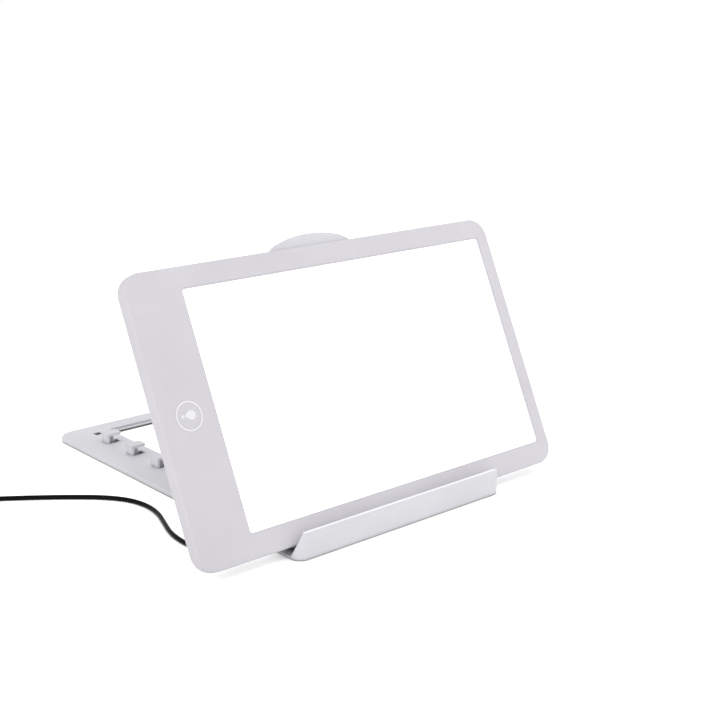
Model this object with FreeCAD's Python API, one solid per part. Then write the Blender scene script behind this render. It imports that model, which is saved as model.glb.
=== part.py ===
"""Light therapy lamp: a slim lit panel that leans on a folding stand.

Millimetres, +Z up, +X to the right as seen from the front, +Y to the back.
The stand and panel are drawn with the panel's front bottom edge at y = 0, and
every piece is moved at the end so that the origin is under the middle.
"""
import FreeCAD
import Part
import math
import os

from FreeCAD import Placement, Rotation, Vector

# Panel
PANEL_W = 300.0
PANEL_H = 177.5
PANEL_T = 9.0
PANEL_CORNER_R = 13.0
PANEL_EDGE_R = 1.6
BEZEL_DEPTH = 5.2
BEZEL_SKIN = 1.5
BACK_SKIN = 1.8
PANEL_WALL = 2.0
LEAN = 26.0
HEEL_Z = 3.4

# Lit screen and the stack behind it
MARGIN_LEFT = 39.2
MARGIN_RIGHT = 11.0
MARGIN_TOP = 14.3
MARGIN_BOTTOM = 15.3
SCREEN_CORNER_R = 1.4
SCREEN_BEVEL = 0.9
SCREEN_LAP = 2.0
DIFFUSER_T = 1.5
GUIDE_T = 2.4
REFLECTOR_T = 0.2
STACK_RIB_W = 1.6
STACK_RIB_SHARES = (0.2, 0.5, 0.8)
LED_STRIP_T = 1.2
LED_SIZE = 2.2
LED_DEPTH = 0.8
LED_COUNT = 24
LED_END_GAP = 8.0

# Touch key and control board
KEY_FROM_LEFT = 20.2
KEY_ABOVE_MIDDLE = 1.1
KEY_RING_R = 8.5
KEY_LINE = 0.9
KEY_PRINT_T = 0.12
BULB_R = 3.1
BULB_FROM_KEY_X = 0.85
BULB_CAP_L = 5.9
BULB_CAP_W = 2.8
KEY_PAD_R = 8.0
KEY_PAD_T = 0.6
KEY_POST_R = 1.5
BOARD_W = 26.0
BOARD_H = 84.0
BOARD_T = 1.4
BOARD_POST_R = 2.5
BOARD_POST_INSET = 6.0
BOARD_CORNER_R = 1.5
BOARD_GAP = 2.0

# Socket housing on the back, socket and plug
HOUSING_FROM_LEFT = 31.0
HOUSING_W = 30.0
HOUSING_V = 62.0
HOUSING_H = 46.0
HOUSING_D = 9.0
HOUSING_WALL = 1.6
HOUSING_EDGE_R = 2.5
SOCKET_W = 9.0
SOCKET_H = 12.0
PLUG_PIN_R = 1.75
PLUG_PIN_L = 9.0
PLUG_PIN_CLEAR = 0.15
PLUG_R = 3.6
PLUG_L = 18.0
RELIEF_L = 16.0
RELIEF_TOP_R = 2.9
RELIEF_END_R = 1.9

# Case screws
SCREW_HEAD_R = 2.2
SCREW_HEAD_T = 1.2
SCREW_R = 1.1
SCREW_TIP_GAP = 0.9
SCREW_CLEAR = 0.05
SCREW_HOLE_CLEAR = 0.3
SCREW_HEAD_CLEAR = 0.2
SCREW_POST_R = 2.6
SCREW_INSET_X = 6.0
SCREW_INSET_V = 7.5

# Stand base
BASE_HALF_W = 87.0
BASE_REAR_Y = 274.0
BASE_UNDER_Z = 0.6
BASE_TOP_Z = 3.6
BASE_REAR_R = 13.0
BASE_FRONT_R = 6.8
BASE_EDGE_R = 1.0
LIP_FRONT_Y = -7.8
LIP_T = 2.2
LIP_TOP_Z = 17.8
LIP_SIDE_L = 7.0
LIP_END_IN = 3.2
LIP_END_SLOPE = 2.1
HINGE_SLOT_FROM_LIP = 3.0
CHANNEL_BEHIND_EAR = 3.0
CHANNEL_Z = 1.6
WINDOW_HALF_W = 50.5
WINDOW_FRONT_Y = 62.0
WINDOW_REAR_Y = 257.0
WINDOW_STEP_Y = 260.0
WINDOW_STEP_DEPTH = 1.4
WINDOW_R = 4.0
UNDERCUT_REAR_Y = 270.0
UNDERCUT_Z = 1.5

# Hooks along the base that catch the prop leg, and the slots under them
HOOK_COUNT = 4
HOOK_PITCH = 32.0
HOOK_FIRST_Y = 135.5
HOOK_L = 8.0
HOOK_OUTER_X = 68.5
HOOK_REACH = 11.0
HOOK_WALL = 1.8
HOOK_H = 7.2
HOOK_BACK_REACH = 8.5
LATCH_X = 62.0
LATCH_Y = 256.0
LATCH_W = 5.4
LATCH_L = 5.0

# Support plate, hinge and prop leg
PLATE_GAP = 0.3
PLATE_T = 4.0
PLATE_HALF_W = 77.0
PLATE_TOP_V = 176.0
PLATE_CORNER_R = 12.0
TAB_TOP_V = 187.0
TAB_HALF_W = 34.0
NEST_HALF_W = 58.0
NEST_CLEAR = 2.0
FOOT_NEST_HALF_W = 67.0
FOOT_NEST_V = 8.0
HINGE_V = 3.5
HINGE_PIN_R = 0.9
PIN_CLEAR = 0.06
HINGE_PIN_IN = 7.0
EAR_GAP = 0.5
EAR_W = 5.0
EAR_R = 2.0
EAR_WEB_FRONT = 1.0
EAR_WEB_REAR = 5.5
LEDGE_T = 1.2
LEDGE_D = 2.0
LEDGE_BACK_T = 1.5
LEG_T = 3.2
LEG_HALF_W = 56.0
LEG_RIB_T = 1.2
LEG_FIELDS = 3
LEG_FIELD_SIDE = 10.0
LEG_FIELD_GAP = 7.0
LEG_FIELD_R = 4.0
LUG_CLEAR = 0.3
LUG_LENGTH = 9.5
LEG_PIN_L = 16.0

# Rubber feet under the base
FOOT_R = 5.0
FOOT_T = 0.9
FOOT_X = 77.0
FOOT_YS = (32.0, 150.0, 260.0)

# Power lead: thickness, route as far as the coil, coil, tie and end plug
CORD_D = 3.0
LEAD_ROUTE = (
    (-119.1, 21.2, 19.9),
    (-119.3, 21.6, 12.0),
    (-119.7, 25.8, 5.3),
    (-120.3, 32.7, 1.5),
    (-121.2, 40.6, 1.5),
    (-122.6, 51.0, 1.5),
    (-122.9, 62.5, 1.5),
    (-120.8, 76.0, 1.5),
    (-115.0, 91.0, 1.5),
    (-109.3, 106.0, 1.5),
    (-107.6, 121.5, 1.5),
    (-111.4, 137.0, 1.5),
    (-121.7, 151.2, 1.5),
    (-137.0, 164.3, 1.5),
    (-153.5, 177.2, 1.5),
    (-172.5, 190.5, 1.5),
    (-183.6, 198.0, 1.5),
    (-194.5, 204.7, 1.5),
)
RISE_CORNERS = 2
COIL_X = -189.1
COIL_Y = 227.5
COIL_MID_R = 17.5
COIL_RINGS = 4
COIL_LAYERS = 2
TAIL_ROUTE = (
    (-211.1, 235.4, 4.4),
    (-211.4, 243.2, 3.4),
    (-212.4, 251.0, 2.9),
    (-213.9, 258.4, 3.2),
)
TIE_T = 0.8
TIE_W = 6.0
TIE_ANGLE = 100.0
USB_GRIP_W = 12.0
USB_GRIP_T = 6.4
USB_GRIP_L = 22.0
USB_SHELL_W = 11.0
USB_SHELL_T = 4.5
USB_SHELL_L = 12.0
USB_GRIP_R = 2.0
USB_WALL = 0.4
USB_TONGUE_T = 2.2
USB_HOLLOW_FROM = 3.0

X_AXIS = Vector(1, 0, 0)
QUARTER_TURN = 90.0
SIN_LEAN = math.sin(math.radians(LEAN))

# How far solids of one piece run into each other, and how far cuts reach past an open edge
MERGE = 0.5
PAST_EDGE = 20.0

# Places worked out from the sizes above
PANEL_FOOT_Z = HEEL_Z + PANEL_T * SIN_LEAN
PANEL_FRAME = Placement(Vector(0, 0, PANEL_FOOT_Z), Rotation(X_AXIS, QUARTER_TURN - LEAN))
SCREEN_X0 = -PANEL_W / 2 + MARGIN_LEFT
SCREEN_X1 = PANEL_W / 2 - MARGIN_RIGHT
SCREEN_V0 = MARGIN_BOTTOM
SCREEN_V1 = PANEL_H - MARGIN_TOP
KEY_X = -PANEL_W / 2 + KEY_FROM_LEFT
HOUSING_X = -PANEL_W / 2 + HOUSING_FROM_LEFT
KEY_V = PANEL_H / 2 + KEY_ABOVE_MIDDLE
DIFFUSER_W = -BEZEL_SKIN
GUIDE_W = DIFFUSER_W - DIFFUSER_T
REFLECTOR_W = GUIDE_W - GUIDE_T
STACK_BACK_W = REFLECTOR_W - REFLECTOR_T
COVER_INNER_W = BACK_SKIN - PANEL_T
BOARD_W_TOP = -BEZEL_SKIN - KEY_PAD_T - BOARD_GAP
PLUG_W = -PANEL_T - HOUSING_D / 2
PLUG_TOP_V = HOUSING_V - PLATE_GAP
RELIEF_TOP_V = PLUG_TOP_V - PLUG_L
RELIEF_END_V = RELIEF_TOP_V - RELIEF_L
PLATE_FRONT_W = -PANEL_T - PLATE_GAP
PLATE_MID_W = PLATE_FRONT_W - PLATE_T / 2
HINGE = PANEL_FRAME.multVec(Vector(0, HINGE_V, PLATE_MID_W))
LUG_R = HINGE.z - BASE_TOP_Z - LUG_CLEAR
FOOT_Y = HOOK_FIRST_Y + HOOK_L - HOOK_WALL - LUG_CLEAR - LUG_R
LEG_L = (FOOT_Y - HINGE.y) / (2 * SIN_LEAN)
LEG_V = HINGE_V + LEG_L
LEG_PIVOT = PANEL_FRAME.multVec(Vector(0, LEG_V, PLATE_MID_W))
LEG_FRAME = Placement(LEG_PIVOT, Rotation(X_AXIS, LEAN - QUARTER_TURN))
COIL_OUTER_R = COIL_MID_R + CORD_D * COIL_RINGS / 2
COIL_INNER_R = COIL_MID_R - CORD_D * COIL_RINGS / 2
COIL_TOP_Z = CORD_D * COIL_LAYERS
TO_ORIGIN = Vector(0, -(BASE_REAR_Y + LIP_FRONT_Y) / 2, 0)


def block(x0, x1, y0, y1, z0, z1):
    """A box between two corners."""
    return Part.makeBox(x1 - x0, y1 - y0, z1 - z0, Vector(x0, y0, z0))


def rod(radius, start, end):
    """A round bar from one point to another."""
    along = Vector(*end) - Vector(*start)
    return Part.makeCylinder(radius, along.Length, Vector(*start), along)


def cone(radius_start, radius_end, start, end):
    """A tapered round bar from one point to another."""
    along = Vector(*end) - Vector(*start)
    return Part.makeCone(radius_start, radius_end, along.Length, Vector(*start), along)


def upright_edges(shape, test=None):
    """The straight edges along Z, or those of them whose middle passes a test."""
    found = []
    for edge in shape.Edges:
        low = edge.BoundBox
        if low.ZLength > 1e-6 and low.XLength < 1e-6 and low.YLength < 1e-6:
            if test is None or test(low.Center):
                found.append(edge)
    return found


def edges_at(shape, z):
    """The edges that lie wholly at one height."""
    return [e for e in shape.Edges if abs(e.BoundBox.ZMin - z) < 1e-6 and abs(e.BoundBox.ZMax - z) < 1e-6]


def rounded_block(x0, x1, y0, y1, z0, z1, radius):
    """A box whose upright edges are rounded."""
    plain = block(x0, x1, y0, y1, z0, z1)
    return plain.makeFillet(radius, upright_edges(plain))


def mirrored(shape):
    """A shape and its mirror image across the middle of the object."""
    return [shape, shape.mirror(Vector(0, 0, 0), X_AXIS)]


def union(shapes):
    """One solid out of several that meet."""
    joined = shapes[0].multiFuse(shapes[1:])
    return joined.removeSplitter()


def panel_outline(inset, w0, w1):
    """The panel's rounded outline, drawn in by an inset, between two depths."""
    half = PANEL_W / 2 - inset
    return rounded_block(-half, half, inset, PANEL_H - inset, w0, w1, PANEL_CORNER_R - inset)


def screen_plate(lap, w0, w1, radius):
    """A plate behind the screen opening that laps over it all round."""
    return rounded_block(
        SCREEN_X0 - lap, SCREEN_X1 + lap, SCREEN_V0 - lap, SCREEN_V1 + lap, w0, w1, radius
    )


def screw_places():
    """Where the case screws go, as places on the panel."""
    far_x = PANEL_W / 2 - SCREW_INSET_X
    top = PANEL_H - SCREW_INSET_V
    return [(x, v) for x in (-far_x, 0.0, far_x) for v in (SCREW_INSET_V, top)]


def front_bezel():
    """The front shell: flat face, screen opening with a bevel, wall and screw posts."""
    shell = panel_outline(0.0, -BEZEL_DEPTH, 0.0)
    shell = shell.makeFillet(PANEL_EDGE_R, edges_at(shell, 0.0))
    shell = shell.cut(panel_outline(PANEL_WALL, -BEZEL_DEPTH, -BEZEL_SKIN))
    opening = screen_plate(0.0, -BEZEL_SKIN, 0.0, SCREEN_CORNER_R)
    opening = opening.fuse(screen_plate(SCREEN_BEVEL, -SCREEN_BEVEL / 2, 0.0, SCREEN_CORNER_R))
    shell = shell.cut(opening)
    posts = []
    for x, v in screw_places():
        posts.append(rod(SCREW_POST_R, (x, v, -BEZEL_DEPTH), (x, v, -BEZEL_SKIN / 2)))
    shell = union([shell] + posts)
    for x, v in screw_places():
        depth = -BEZEL_SKIN - SCREW_CLEAR
        shell = shell.cut(rod(SCREW_R + SCREW_CLEAR, (x, v, -BEZEL_DEPTH), (x, v, depth)))
    return shell


def housing_block(inset, v_inset):
    """The raised housing on the back, drawn in by an inset on its sides and ends."""
    half = HOUSING_W / 2 - inset
    return block(
        HOUSING_X - half,
        HOUSING_X + half,
        HOUSING_V + v_inset,
        HOUSING_V + HOUSING_H - v_inset,
        -PANEL_T - HOUSING_D + inset,
        COVER_INNER_W,
    )


def back_cover():
    """The rear shell with its socket housing, screw posts, board posts and stack ribs."""
    shell = panel_outline(0.0, -PANEL_T, -BEZEL_DEPTH)
    shell = shell.makeFillet(PANEL_EDGE_R, edges_at(shell, -PANEL_T))
    shell = shell.cut(panel_outline(PANEL_WALL, COVER_INNER_W, -BEZEL_DEPTH))
    housing = housing_block(0.0, 0.0)
    outer = edges_at(housing, -PANEL_T - HOUSING_D)
    housing = housing.makeFillet(HOUSING_EDGE_R, outer + upright_edges(housing))
    shell = shell.fuse(housing).cut(housing_block(HOUSING_WALL, HOUSING_WALL))
    parts = [shell]
    for x, v in screw_places():
        parts.append(rod(SCREW_POST_R, (x, v, COVER_INNER_W - MERGE), (x, v, -BEZEL_DEPTH)))
    for x, v in board_posts():
        parts.append(rod(BOARD_POST_R, (x, v, COVER_INNER_W - MERGE), (x, v, BOARD_W_TOP - BOARD_T)))
    for share in STACK_RIB_SHARES:
        v = SCREEN_V0 + share * (SCREEN_V1 - SCREEN_V0)
        parts.append(
            block(SCREEN_X0, SCREEN_X1, v - STACK_RIB_W / 2, v + STACK_RIB_W / 2,
                  COVER_INNER_W - MERGE, STACK_BACK_W)
        )
    shell = union(parts)
    for x, v in screw_places():
        shell = shell.cut(rod(SCREW_R + SCREW_HOLE_CLEAR, (x, v, -PANEL_T - 1), (x, v, -BEZEL_DEPTH)))
        shell = shell.cut(
            rod(SCREW_HEAD_R + SCREW_HEAD_CLEAR, (x, v, -PANEL_T - 1), (x, v, SCREW_HEAD_T - PANEL_T))
        )
    pin_hole = rod(PLUG_R + PLATE_GAP, (HOUSING_X, HOUSING_V - 1, PLUG_W),
                   (HOUSING_X, HOUSING_V + HOUSING_WALL, PLUG_W))
    return shell.cut(pin_hole)


def board_posts():
    """Where the control board stands on the back cover."""
    return [(KEY_X, KEY_V - BOARD_H / 2 + BOARD_POST_INSET), (KEY_X, KEY_V + BOARD_H / 2 - BOARD_POST_INSET)]


def diffuser():
    """The milky screen plate that glows."""
    return screen_plate(SCREEN_LAP, DIFFUSER_W - DIFFUSER_T, DIFFUSER_W, SCREEN_CORNER_R)


def light_guide():
    """The clear plate that spreads the light of the LEDs over the screen."""
    return screen_plate(0.0, GUIDE_W - GUIDE_T, GUIDE_W, SCREEN_CORNER_R)


def reflector_sheet():
    """The white sheet behind the light guide."""
    return screen_plate(SCREEN_LAP, REFLECTOR_W - REFLECTOR_T, REFLECTOR_W, SCREEN_CORNER_R)


def led_strip():
    """The narrow circuit strip along the left edge of the light guide."""
    x = SCREEN_X0 - LED_DEPTH
    return block(x - LED_STRIP_T, x, SCREEN_V0, SCREEN_V1, GUIDE_W - GUIDE_T, GUIDE_W)


def led_chips():
    """The row of LEDs between the strip and the light guide."""
    run = SCREEN_V1 - SCREEN_V0 - 2 * LED_END_GAP
    chips = []
    for i in range(LED_COUNT):
        v = SCREEN_V0 + LED_END_GAP + run * i / (LED_COUNT - 1)
        half = LED_SIZE / 2
        chips.append(
            block(SCREEN_X0 - LED_DEPTH, SCREEN_X0, v - half, v + half, GUIDE_W - GUIDE_T, GUIDE_W)
        )
    return Part.makeCompound(chips)


def control_board():
    """The driver and dimmer board behind the left margin."""
    half = BOARD_W / 2
    return rounded_block(
        KEY_X - half, KEY_X + half, KEY_V - BOARD_H / 2, KEY_V + BOARD_H / 2,
        BOARD_W_TOP - BOARD_T, BOARD_W_TOP, BOARD_CORNER_R,
    )


def touch_sensor():
    """The sensing disc under the bezel's skin, on its contact post."""
    disc = rod(KEY_PAD_R, (KEY_X, KEY_V, -BEZEL_SKIN - KEY_PAD_T), (KEY_X, KEY_V, -BEZEL_SKIN))
    post = rod(KEY_POST_R, (KEY_X, KEY_V, BOARD_W_TOP), (KEY_X, KEY_V, -BEZEL_SKIN - KEY_PAD_T / 2))
    return union([disc, post])


def touch_mark():
    """The printed ring of the touch key with a plain bulb sign in it, lying on its side."""
    outer = rod(KEY_RING_R + KEY_LINE / 2, (KEY_X, KEY_V, 0), (KEY_X, KEY_V, KEY_PRINT_T))
    inner = rod(KEY_RING_R - KEY_LINE / 2, (KEY_X, KEY_V, -1), (KEY_X, KEY_V, 1))
    ring = outer.cut(inner)
    globe_x = KEY_X + BULB_FROM_KEY_X
    globe = rod(BULB_R, (globe_x, KEY_V, 0), (globe_x, KEY_V, KEY_PRINT_T))
    half = BULB_CAP_W / 2
    cap = block(globe_x - BULB_CAP_L, globe_x, KEY_V - half, KEY_V + half, 0, KEY_PRINT_T)
    return Part.makeCompound([ring, union([globe, cap])])


def power_socket():
    """The round socket inside the housing that takes the lead's plug."""
    half = SOCKET_W / 2
    low = HOUSING_V + HOUSING_WALL
    floor_w = -PANEL_T - HOUSING_D + HOUSING_WALL
    body = block(
        HOUSING_X - half, HOUSING_X + half, low, low + SOCKET_H, floor_w, PLUG_W + half
    )
    bore_r = PLUG_PIN_R + PLUG_PIN_CLEAR
    bore = rod(bore_r, (HOUSING_X, low - 1, PLUG_W), (HOUSING_X, low + PLUG_PIN_L, PLUG_W))
    return body.cut(bore)


def case_screws():
    """The screws that hold the two shells together."""
    screws = []
    for x, v in screw_places():
        head = rod(SCREW_HEAD_R, (x, v, -PANEL_T), (x, v, SCREW_HEAD_T - PANEL_T))
        tip = -BEZEL_SKIN - SCREW_TIP_GAP
        shank = rod(SCREW_R, (x, v, -PANEL_T + SCREW_HEAD_T / 2), (x, v, tip))
        screws.append(union([head, shank]))
    return Part.makeCompound(screws)


def support_plate():
    """The plate behind the panel: thumb tab, nest for the leg, hinge ends and ledges."""
    w0 = PLATE_FRONT_W - PLATE_T
    w1 = PLATE_FRONT_W
    low = HINGE_V
    plate = block(-PLATE_HALF_W, PLATE_HALF_W, low, PLATE_TOP_V, w0, w1)
    corners = upright_edges(plate, lambda c: c.y > low + 1)
    corners = [e for e in corners if e.BoundBox.YMin > PLATE_TOP_V - 1]
    plate = plate.makeFillet(PLATE_CORNER_R, corners)
    tab_curve = Part.Ellipse(Vector(0, PLATE_TOP_V, w0), TAB_HALF_W, TAB_TOP_V - PLATE_TOP_V)
    tab = Part.Face(Part.Wire([tab_curve.toShape()])).extrude(Vector(0, 0, PLATE_T))
    knuckle = rod(PLATE_T / 2, (-PLATE_HALF_W, HINGE_V, PLATE_MID_W),
                  (PLATE_HALF_W, HINGE_V, PLATE_MID_W))
    plate = union([plate, tab, knuckle])
    nest_top = LEG_V + LEG_T / 2 + NEST_CLEAR
    plate = plate.cut(block(-NEST_HALF_W, NEST_HALF_W, -PAST_EDGE, nest_top, w0 - 1, w1 + 1))
    plate = plate.cut(
        block(-FOOT_NEST_HALF_W, FOOT_NEST_HALF_W, -PAST_EDGE, FOOT_NEST_V, w0 - 1, w1 + 1)
    )
    ledge_low = -PLATE_GAP - LEDGE_T
    back = w1 - LEDGE_BACK_T
    shelf = block(FOOT_NEST_HALF_W, PLATE_HALF_W, ledge_low, -PLATE_GAP, back, -LEDGE_D)
    riser = block(FOOT_NEST_HALF_W, PLATE_HALF_W, ledge_low, HINGE_V, back, w1)
    plate = union([plate] + mirrored(shelf) + mirrored(riser))
    pin_r = HINGE_PIN_R + PIN_CLEAR
    plate = plate.cut(
        rod(pin_r, (-PLATE_HALF_W - 1, HINGE_V, PLATE_MID_W), (PLATE_HALF_W + 1, HINGE_V, PLATE_MID_W))
    )
    half_pin = (NEST_HALF_W + LEG_HALF_W) / 2 + LEG_PIN_L / 2
    return plate.cut(
        rod(HINGE_PIN_R, (-half_pin, LEG_V, PLATE_MID_W), (half_pin, LEG_V, PLATE_MID_W))
    )


def leg_pins():
    """The two pins that the prop leg turns on, fixed in the support plate."""
    middle = (NEST_HALF_W + LEG_HALF_W) / 2
    pin = rod(HINGE_PIN_R, (middle - LEG_PIN_L / 2, LEG_V, PLATE_MID_W),
              (middle + LEG_PIN_L / 2, LEG_V, PLATE_MID_W))
    return Part.makeCompound(mirrored(pin))


def prop_leg():
    """The leg that props the plate: a ribbed flap with a lug at each side of its foot."""
    half_t = LEG_T / 2
    flap = block(-LEG_HALF_W, LEG_HALF_W, 0, LEG_L, -half_t, half_t)
    head = rod(half_t, (-LEG_HALF_W, 0, 0), (LEG_HALF_W, 0, 0))
    foot_half = LEG_HALF_W + LUG_LENGTH
    foot = rod(LUG_R, (-foot_half, LEG_L, 0), (foot_half, LEG_L, 0))
    flap = union([flap, head, foot])
    field_top = half_t - LEG_RIB_T
    pitch = LEG_L / LEG_FIELDS
    for i in range(LEG_FIELDS):
        field = rounded_block(
            LEG_FIELD_SIDE - LEG_HALF_W, LEG_HALF_W - LEG_FIELD_SIDE,
            pitch * i + LEG_FIELD_GAP, pitch * (i + 1) - LEG_FIELD_GAP,
            half_t - field_top, half_t + 1, LEG_FIELD_R,
        )
        flap = flap.cut(field)
    reach = LEG_PIN_L / 2 + LEG_HALF_W - (NEST_HALF_W + LEG_HALF_W) / 2
    hole = rod(HINGE_PIN_R + PIN_CLEAR, (LEG_HALF_W - reach - 0.5, 0, 0), (LEG_HALF_W + 1, 0, 0))
    for shape in mirrored(hole):
        flap = flap.cut(shape)
    return flap


def hook(y0):
    """One left hook, open to the front and to the middle, and the slot under its arm."""
    x0 = -HOOK_OUTER_X
    top = BASE_TOP_Z + HOOK_H
    y1 = y0 + HOOK_L
    root = BASE_TOP_Z - MERGE
    side = block(x0, x0 + HOOK_WALL, y0, y1, root, top)
    rear = block(x0, x0 + HOOK_BACK_REACH, y1 - HOOK_WALL, y1, root, top)
    arm = block(x0, x0 + HOOK_REACH, y0, y1, top - HOOK_WALL, top)
    slot = block(
        x0 + HOOK_WALL, x0 + HOOK_REACH, y0, y1 - HOOK_WALL, BASE_UNDER_Z - 1, BASE_TOP_Z + 1
    )
    return union([side, rear, arm]), slot


def lip_end_cut():
    """What is cut off the lip's left end, so that its top slopes down round the corner."""
    half = math.sqrt(0.5)
    outward = Vector(-half, half, 0)
    along = Vector(half, half, 0)
    start = Vector(LIP_END_IN - BASE_HALF_W, LIP_FRONT_Y, LIP_TOP_Z)
    run = LIP_SIDE_L + LIP_END_IN
    corners = [
        start - along * run,
        start - along * run + outward * run - Vector(0, 0, LIP_END_SLOPE * run),
        start - along * run + outward * run + Vector(0, 0, 1),
        start - along * run + Vector(0, 0, 1),
    ]
    return Part.Face(Part.makePolygon(corners + corners[:1])).extrude(along * 2 * run)


def lip():
    """The front wall that keeps the panel's foot on the base, with short ends that slope down."""
    rear = LIP_FRONT_Y + LIP_SIDE_L
    outer = block(-BASE_HALF_W, BASE_HALF_W, LIP_FRONT_Y, rear, BASE_UNDER_Z, LIP_TOP_Z)
    front = upright_edges(outer, lambda c: c.y < rear - 1)
    outer = outer.makeFillet(BASE_FRONT_R, front)
    inner = block(
        LIP_T - BASE_HALF_W, BASE_HALF_W - LIP_T, LIP_FRONT_Y + LIP_T, rear + 1,
        BASE_UNDER_Z - 1, LIP_TOP_Z + 1,
    )
    front = upright_edges(inner, lambda c: c.y < rear)
    inner = inner.makeFillet(BASE_FRONT_R - LIP_T, front)
    wall = outer.cut(inner)
    for cutter in mirrored(lip_end_cut()):
        wall = wall.cut(cutter)
    return wall


def base_stand():
    """The moulded base: plate, window with its step, front lip, hooks and hinge ears."""
    plate = block(-BASE_HALF_W, BASE_HALF_W, LIP_FRONT_Y, BASE_REAR_Y, BASE_UNDER_Z, BASE_TOP_Z)
    plate = plate.makeFillet(BASE_REAR_R, upright_edges(plate, lambda c: c.y > 0))
    plate = plate.makeFillet(BASE_FRONT_R, upright_edges(plate, lambda c: c.y < 0))
    plate = plate.makeFillet(BASE_EDGE_R, edges_at(plate, BASE_TOP_Z))
    channel_back = HINGE.y + EAR_R + CHANNEL_BEHIND_EAR
    plate = plate.cut(
        block(-BASE_HALF_W - 1, BASE_HALF_W + 1, LIP_FRONT_Y + LIP_T, channel_back, CHANNEL_Z, LIP_TOP_Z)
    )
    plate = plate.cut(rounded_block(
        -WINDOW_HALF_W, WINDOW_HALF_W, WINDOW_FRONT_Y, WINDOW_REAR_Y,
        BASE_UNDER_Z - 1, BASE_TOP_Z + 1, WINDOW_R,
    ))
    plate = plate.cut(rounded_block(
        -WINDOW_HALF_W, WINDOW_HALF_W, WINDOW_REAR_Y - 2 * WINDOW_R, WINDOW_STEP_Y,
        BASE_TOP_Z - WINDOW_STEP_DEPTH, BASE_TOP_Z + 1, WINDOW_R,
    ))
    plate = plate.cut(rounded_block(
        -WINDOW_HALF_W, WINDOW_HALF_W, WINDOW_REAR_Y - 2 * WINDOW_R, UNDERCUT_REAR_Y,
        BASE_UNDER_Z - 1, UNDERCUT_Z, WINDOW_R,
    ))
    ear_x0 = PLATE_HALF_W + EAR_GAP
    ear_top = rod(EAR_R, (ear_x0, HINGE.y, HINGE.z), (ear_x0 + EAR_W, HINGE.y, HINGE.z))
    ear_web = block(ear_x0, ear_x0 + EAR_W, HINGE.y - EAR_WEB_FRONT, HINGE.y + EAR_WEB_REAR,
                    BASE_UNDER_Z, HINGE.z)
    ear = union([ear_top, ear_web])
    parts = [plate, lip()] + mirrored(ear)
    slots = []
    for i in range(HOOK_COUNT):
        solid, slot = hook(HOOK_FIRST_Y + i * HOOK_PITCH)
        parts += mirrored(solid)
        slots += mirrored(slot)
    base = union(parts)
    latch = block(
        LATCH_X - LATCH_W / 2, LATCH_X + LATCH_W / 2, LATCH_Y - LATCH_L / 2,
        LATCH_Y + LATCH_L / 2, BASE_UNDER_Z - 1, BASE_TOP_Z + 1,
    )
    slots += mirrored(latch)
    hinge_slot = block(
        -PLATE_HALF_W - EAR_GAP, PLATE_HALF_W + EAR_GAP, LIP_FRONT_Y + LIP_T + HINGE_SLOT_FROM_LIP,
        channel_back, BASE_UNDER_Z - 1, BASE_TOP_Z + 1,
    )
    slots.append(hinge_slot)
    far = ear_x0 + EAR_W + 1
    slots.append(rod(HINGE_PIN_R, (-far, HINGE.y, HINGE.z), (far, HINGE.y, HINGE.z)))
    for x in (-FOOT_X, FOOT_X):
        for y in FOOT_YS:
            slots.append(rod(FOOT_R, (x, y, BASE_UNDER_Z - 1), (x, y, FOOT_T)))
    for slot in slots:
        base = base.cut(slot)
    return base


def rubber_feet():
    """The thin rubber discs let into the base's underside."""
    feet = []
    for x in (-FOOT_X, FOOT_X):
        for y in FOOT_YS:
            feet.append(rod(FOOT_R, (x, y, 0), (x, y, FOOT_T)))
    return Part.makeCompound(feet)


def hinge_pins():
    """The two pins of the support plate's hinge, fixed in the base's ears."""
    x0 = PLATE_HALF_W - HINGE_PIN_IN
    x1 = PLATE_HALF_W + EAR_GAP + EAR_W
    pin = rod(HINGE_PIN_R, (x0, HINGE.y, HINGE.z), (x1, HINGE.y, HINGE.z))
    return Part.makeCompound(mirrored(pin))


def lead_plug():
    """The lead's plug: moulded grip and its pin, up in the socket."""
    grip = rod(PLUG_R, (HOUSING_X, RELIEF_TOP_V, PLUG_W), (HOUSING_X, PLUG_TOP_V, PLUG_W))
    tip_v = HOUSING_V + HOUSING_WALL + PLUG_PIN_L - 1
    pin = rod(PLUG_PIN_R, (HOUSING_X, PLUG_TOP_V - 1, PLUG_W), (HOUSING_X, tip_v, PLUG_W))
    return union([grip, pin])


def strain_relief():
    """The tapered sleeve where the lead leaves its plug."""
    return cone(RELIEF_TOP_R, RELIEF_END_R, (HOUSING_X, RELIEF_TOP_V, PLUG_W),
                (HOUSING_X, RELIEF_END_V, PLUG_W))


def cord_edges(points):
    """The straight runs of a cord joined by the largest arcs that they allow, and the radii."""
    points = [Vector(*p) for p in points]
    edges = []
    radii = []
    start = points[0]
    for before, corner, after in zip(points, points[1:], points[2:]):
        back = before - corner
        ahead = after - corner
        shorter = min(back.Length, ahead.Length)
        turn = math.pi - back.getAngle(ahead)
        reach = 0.45 * shorter
        radius = reach / math.tan(turn / 2)
        enter = corner + back.normalize() * reach
        leave = corner + ahead.normalize() * reach
        middle = (back + ahead).normalize()
        sagitta = radius / math.cos(turn / 2) - radius
        edges.append(Part.LineSegment(start, enter).toShape())
        edges.append(Part.Arc(enter, corner + middle * sagitta, leave).toShape())
        radii.append(round(radius, 1))
        start = leave
    edges.append(Part.LineSegment(start, points[-1]).toShape())
    return edges, radii


def cord_tube(name, edges, radii):
    """A round cord along some of those runs and arcs, with its volume checked."""
    path = Part.Wire(edges)
    first = edges[0].Vertexes
    ring = Part.Wire(Part.makeCircle(CORD_D / 2, first[0].Point, first[1].Point - first[0].Point))
    tube = path.makePipeShell([ring], True, False)
    expected = math.pi * CORD_D ** 2 / 4 * path.Length
    print(name, "radii", radii, "length", round(path.Length, 1),
          "volume share", round(tube.Volume / expected, 4))
    return tube


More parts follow.
